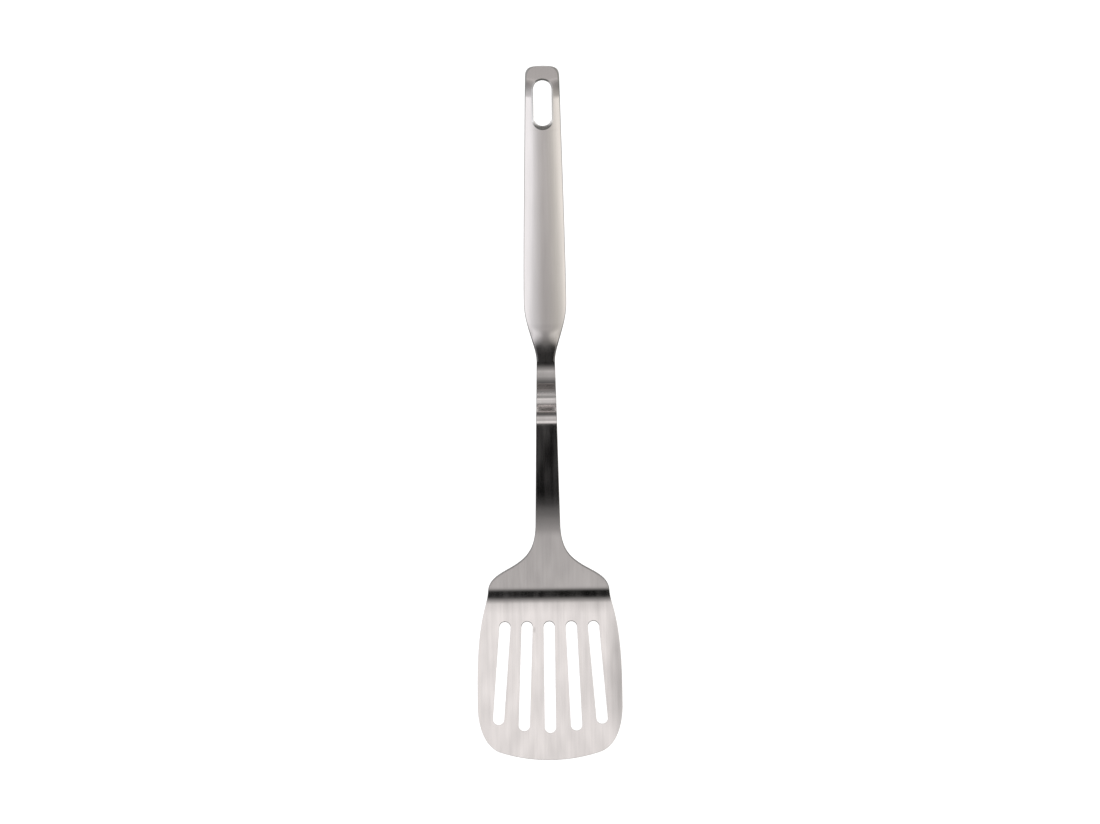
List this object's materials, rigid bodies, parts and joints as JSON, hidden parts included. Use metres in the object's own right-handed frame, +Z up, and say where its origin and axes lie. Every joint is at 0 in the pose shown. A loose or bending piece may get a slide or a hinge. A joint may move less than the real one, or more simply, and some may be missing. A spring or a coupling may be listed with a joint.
{
  "type": "slotted spatula",
  "caption": "Long stainless steel kitchen turner: flat slotted blade with a swept tip, dipped flat neck and a hollow crowned handle with an oblong hanging hole.",
  "frame": {"origin": "on the table, under the middle of the spatula's box as it lies face up", "axes": "+Z up, +Y along the spatula from the blade's tip to the handle's end, +X across the blade"},
  "size_m": [0.0728, 0.3446, 0.0479],
  "materials": {
    "head_steel": "satin, brushed along the length",
    "handle_steel": "satin, brushed along the length",
    "handle_back_steel": "satin, brushed along the length",
    "sleeve_steel": "polished"
  },
  "bodies": {
    "root": {"blade_and_neck": "head_steel", "handle_front_shell": "handle_steel", "handle_back_shell": "handle_back_steel", "hanging_hole_sleeve": "sleeve_steel"}
  },
  "joints": []
}
